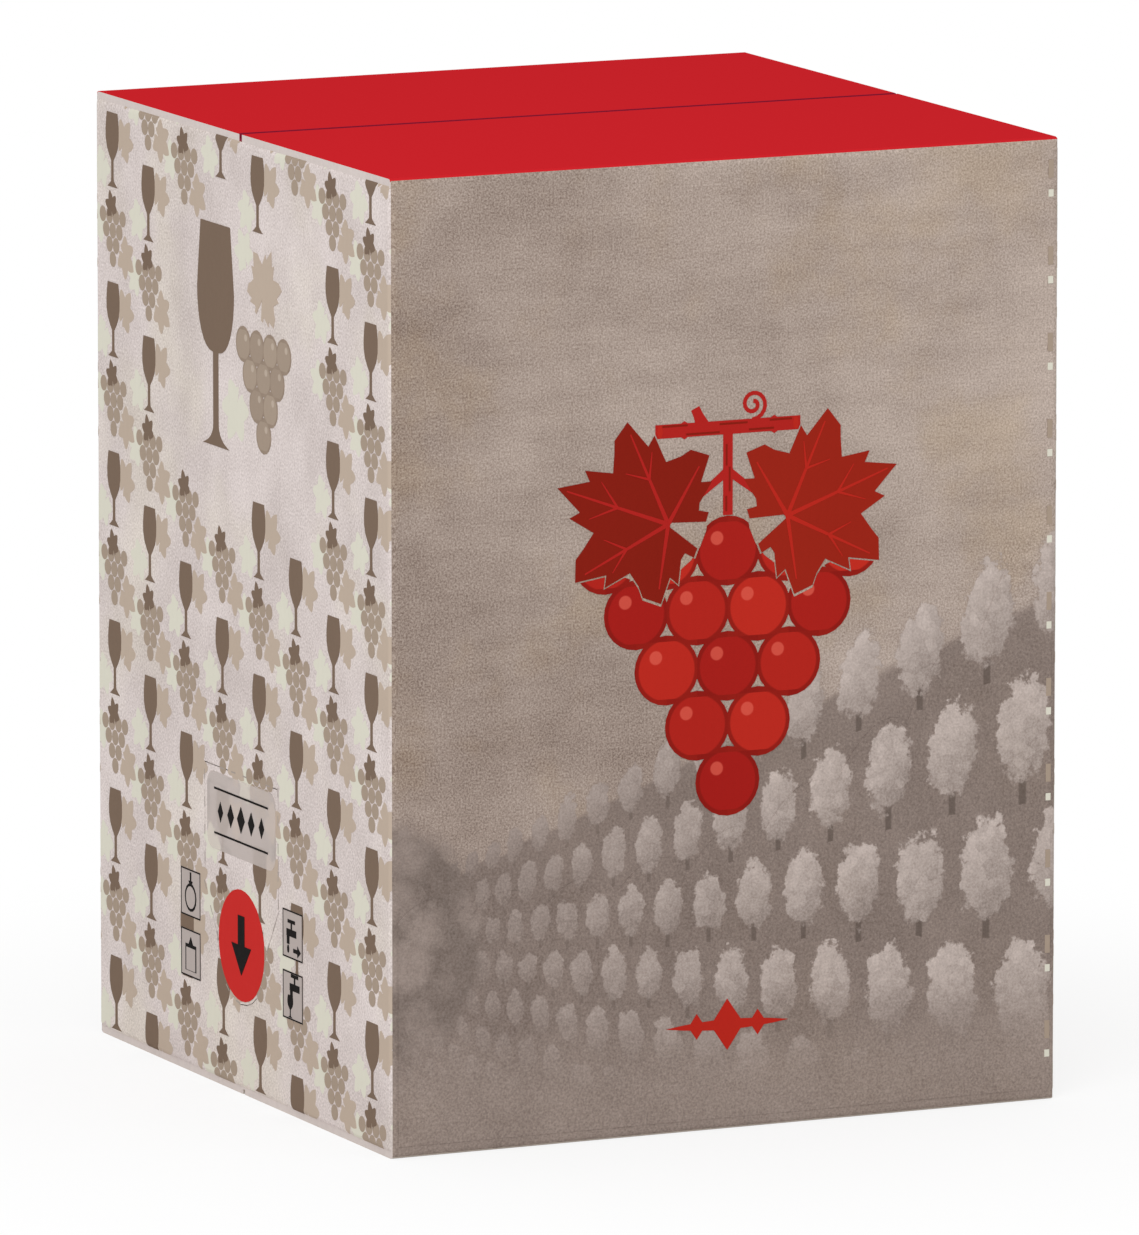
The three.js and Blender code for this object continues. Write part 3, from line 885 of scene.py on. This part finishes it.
def tap(u, v):
    return [
        bar(u, v, 8, 2.4),
        bar(u - 2.6, v - 2.2, 2.2, 3.4),
        bar(u, v + 2.4, 1.2, 3),
        bar(u, v + 3.8, 6, 1.2),
    ]


def pull_tap():
    dark = tap(-1, 0.5)
    dark += [stamp(arrow_up, 0.5, -5, -90, 1), stamp(tap_drop, -3.6, -5, 0, 0.9, 1.4)]
    return dark, []


def pour_glass():
    return tap(1.5, 3) + [stamp(small_glass, -2, -3.6, 0, 0.42, 0.3)], []


plate_drawings = {
    "left_1": press_disc,
    "left_2": lift_tongue,
    "right_1": pull_tap,
    "right_2": pour_glass,
}
for place, draw in plate_drawings.items():
    node = "pictogram_" + place
    dress(node, grey)
    plate_low, plate_high = (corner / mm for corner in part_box(node))
    centre_u = -(plate_low.y + plate_high.y) / 2
    centre_v = (plate_low.z + plate_high.z) / 2
    half = (plate_high.z - plate_low.z) / 2
    dark, light = draw()
    for shape in dark + light:
        shape.location += Vector((centre_u, centre_v, 0))
    edges = (-half + frame_line / 2, half - frame_line / 2)
    dark += [bar(centre_u, centre_v + offset, 2 * half, frame_line) for offset in edges]
    dark += [bar(centre_u + offset, centre_v, frame_line, 2 * half) for offset in edges]
    lay_ink(node + "_drawing", dark, "left", black, 0.05, field_thickness)
    if light:
        lay_ink(node + "_ground", light, "left", grey, 0.08, field_thickness)

for shape in (small_glass, small_leaf, small_grape, small_bunch, arrow_up, tap_drop):
    bpy.data.objects.remove(shape)


# The floor is plain and pale, and is no part of the carton. Near the carton it takes the shadow,
# and further out it is as white as the room.
floor_size = 30
shadow_start = 0.12
shadow_end = 0.4
shadow_whiteness = 0.78
bpy.ops.object.select_all(action="DESELECT")
bpy.ops.mesh.primitive_plane_add(size=floor_size, location=(0, 0, 0))
floor = bpy.context.object
floor.name = "floor"
ground = Finish("white_floor", roughness=1)
ground.colour((0.95, 0.95, 0.95, 1))
distance = ground.add("VectorMath", {"operation": "LENGTH"}, {0: ground.place}, "Value")
clearing = distance.between(shadow_start, shadow_end)
whiteness = clearing * (1 - shadow_whiteness) + shadow_whiteness
camera_ray = ground.add("LightPath", output="Is Camera Ray")
glow = ground.add("Emission")
blend = ground.add("MixShader", None, {0: whiteness * camera_ray, 2: glow})
ground.tree.links.new(ground.shader.outputs[0], blend.output.node.inputs[1])
ground.feed(ground.tree.nodes["Material Output"].inputs["Surface"], blend)
floor.data.materials.append(ground.material)
